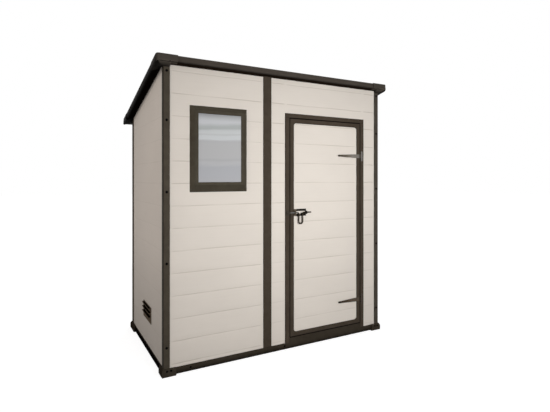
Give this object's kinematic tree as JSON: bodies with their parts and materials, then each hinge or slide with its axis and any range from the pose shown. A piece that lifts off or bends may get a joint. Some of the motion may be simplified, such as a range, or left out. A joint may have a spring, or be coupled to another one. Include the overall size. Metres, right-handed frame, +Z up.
{
  "type": "resin tool shed",
  "caption": "Small pent-roof shed of moulded resin panels between posts, with a hinged door, a sliding bolt with a drop handle, a fixed window and side vents.",
  "frame": {"origin": "on the ground, at the middle of the roof's outline", "axes": "+X to the right along the front, +Y to the back, +Z up"},
  "size_m": [1.854, 1.155, 1.9827],
  "materials": {
    "cream_resin": "cream resin with a faint wood grain",
    "brown_resin": "dark brown resin, satin",
    "roof_resin": "grey-brown resin, matt",
    "vent_resin": "very dark brown resin",
    "frosted_pane": "translucent sheet",
    "grey_steel": "dull plated steel",
    "dark_steel": "dark coated steel"
  },
  "bodies": {
    "shed": {"floor_left": "brown_resin", "floor_right": "brown_resin", "corner_feet": "brown_resin", "front_left_post": "brown_resin", "front_right_post": "brown_resin", "back_left_post": "brown_resin", "back_right_post": "brown_resin", "front_centre_post": "brown_resin", "back_centre_post": "brown_resin", "window_wall": "cream_resin", "wall_left_of_door": "cream_resin", "wall_right_of_door": "cream_resin", "wall_over_door": "cream_resin", "left_wall": "cream_resin", "right_wall": "cream_resin", "back_wall_left": "cream_resin", "back_wall_right": "cream_resin", "window_frame": "brown_resin", "window_pane": "frosted_pane", "door_jamb_left": "brown_resin", "door_jamb_right": "brown_resin", "door_head": "brown_resin", "door_sill": "brown_resin", "left_vent": "vent_resin", "right_vent": "vent_resin", "wall_top_rails": "roof_resin", "roof_beam": "grey_steel", "roof_panel_left": "roof_resin", "roof_panel_right": "roof_resin", "fascia_front": "roof_resin", "fascia_back": "roof_resin", "fascia_left": "roof_resin", "fascia_right": "roof_resin", "roof_corner_caps": "roof_resin", "hinge_plates": "grey_steel", "bolt_keeper": "dark_steel"},
    "door": {"door_panel": "cream_resin", "door_rim": "brown_resin", "hinge_straps": "grey_steel", "bolt_body": "dark_steel"},
    "bolt": {"bolt_rod": "dark_steel"},
    "handle": {"bolt_handle": "dark_steel"}
  },
  "joints": [
    {"name": "door_hinge", "type": "hinge", "parent": "shed", "child": "door", "pos_m": [0.6792, -0.547, 0.8], "axis": [0, 0, 1], "range_deg": [0, 165]},
    {"name": "bolt_slide", "type": "slide", "parent": "door", "child": "bolt", "axis": [-1, 0, 0], "range_m": [0, 0.015]},
    {"name": "handle_swing", "type": "hinge", "parent": "bolt", "child": "handle", "pos_m": [0.1202, -0.549, 0.976], "axis": [-1, 0, 0], "range_deg": [0, 165]}
  ]
}
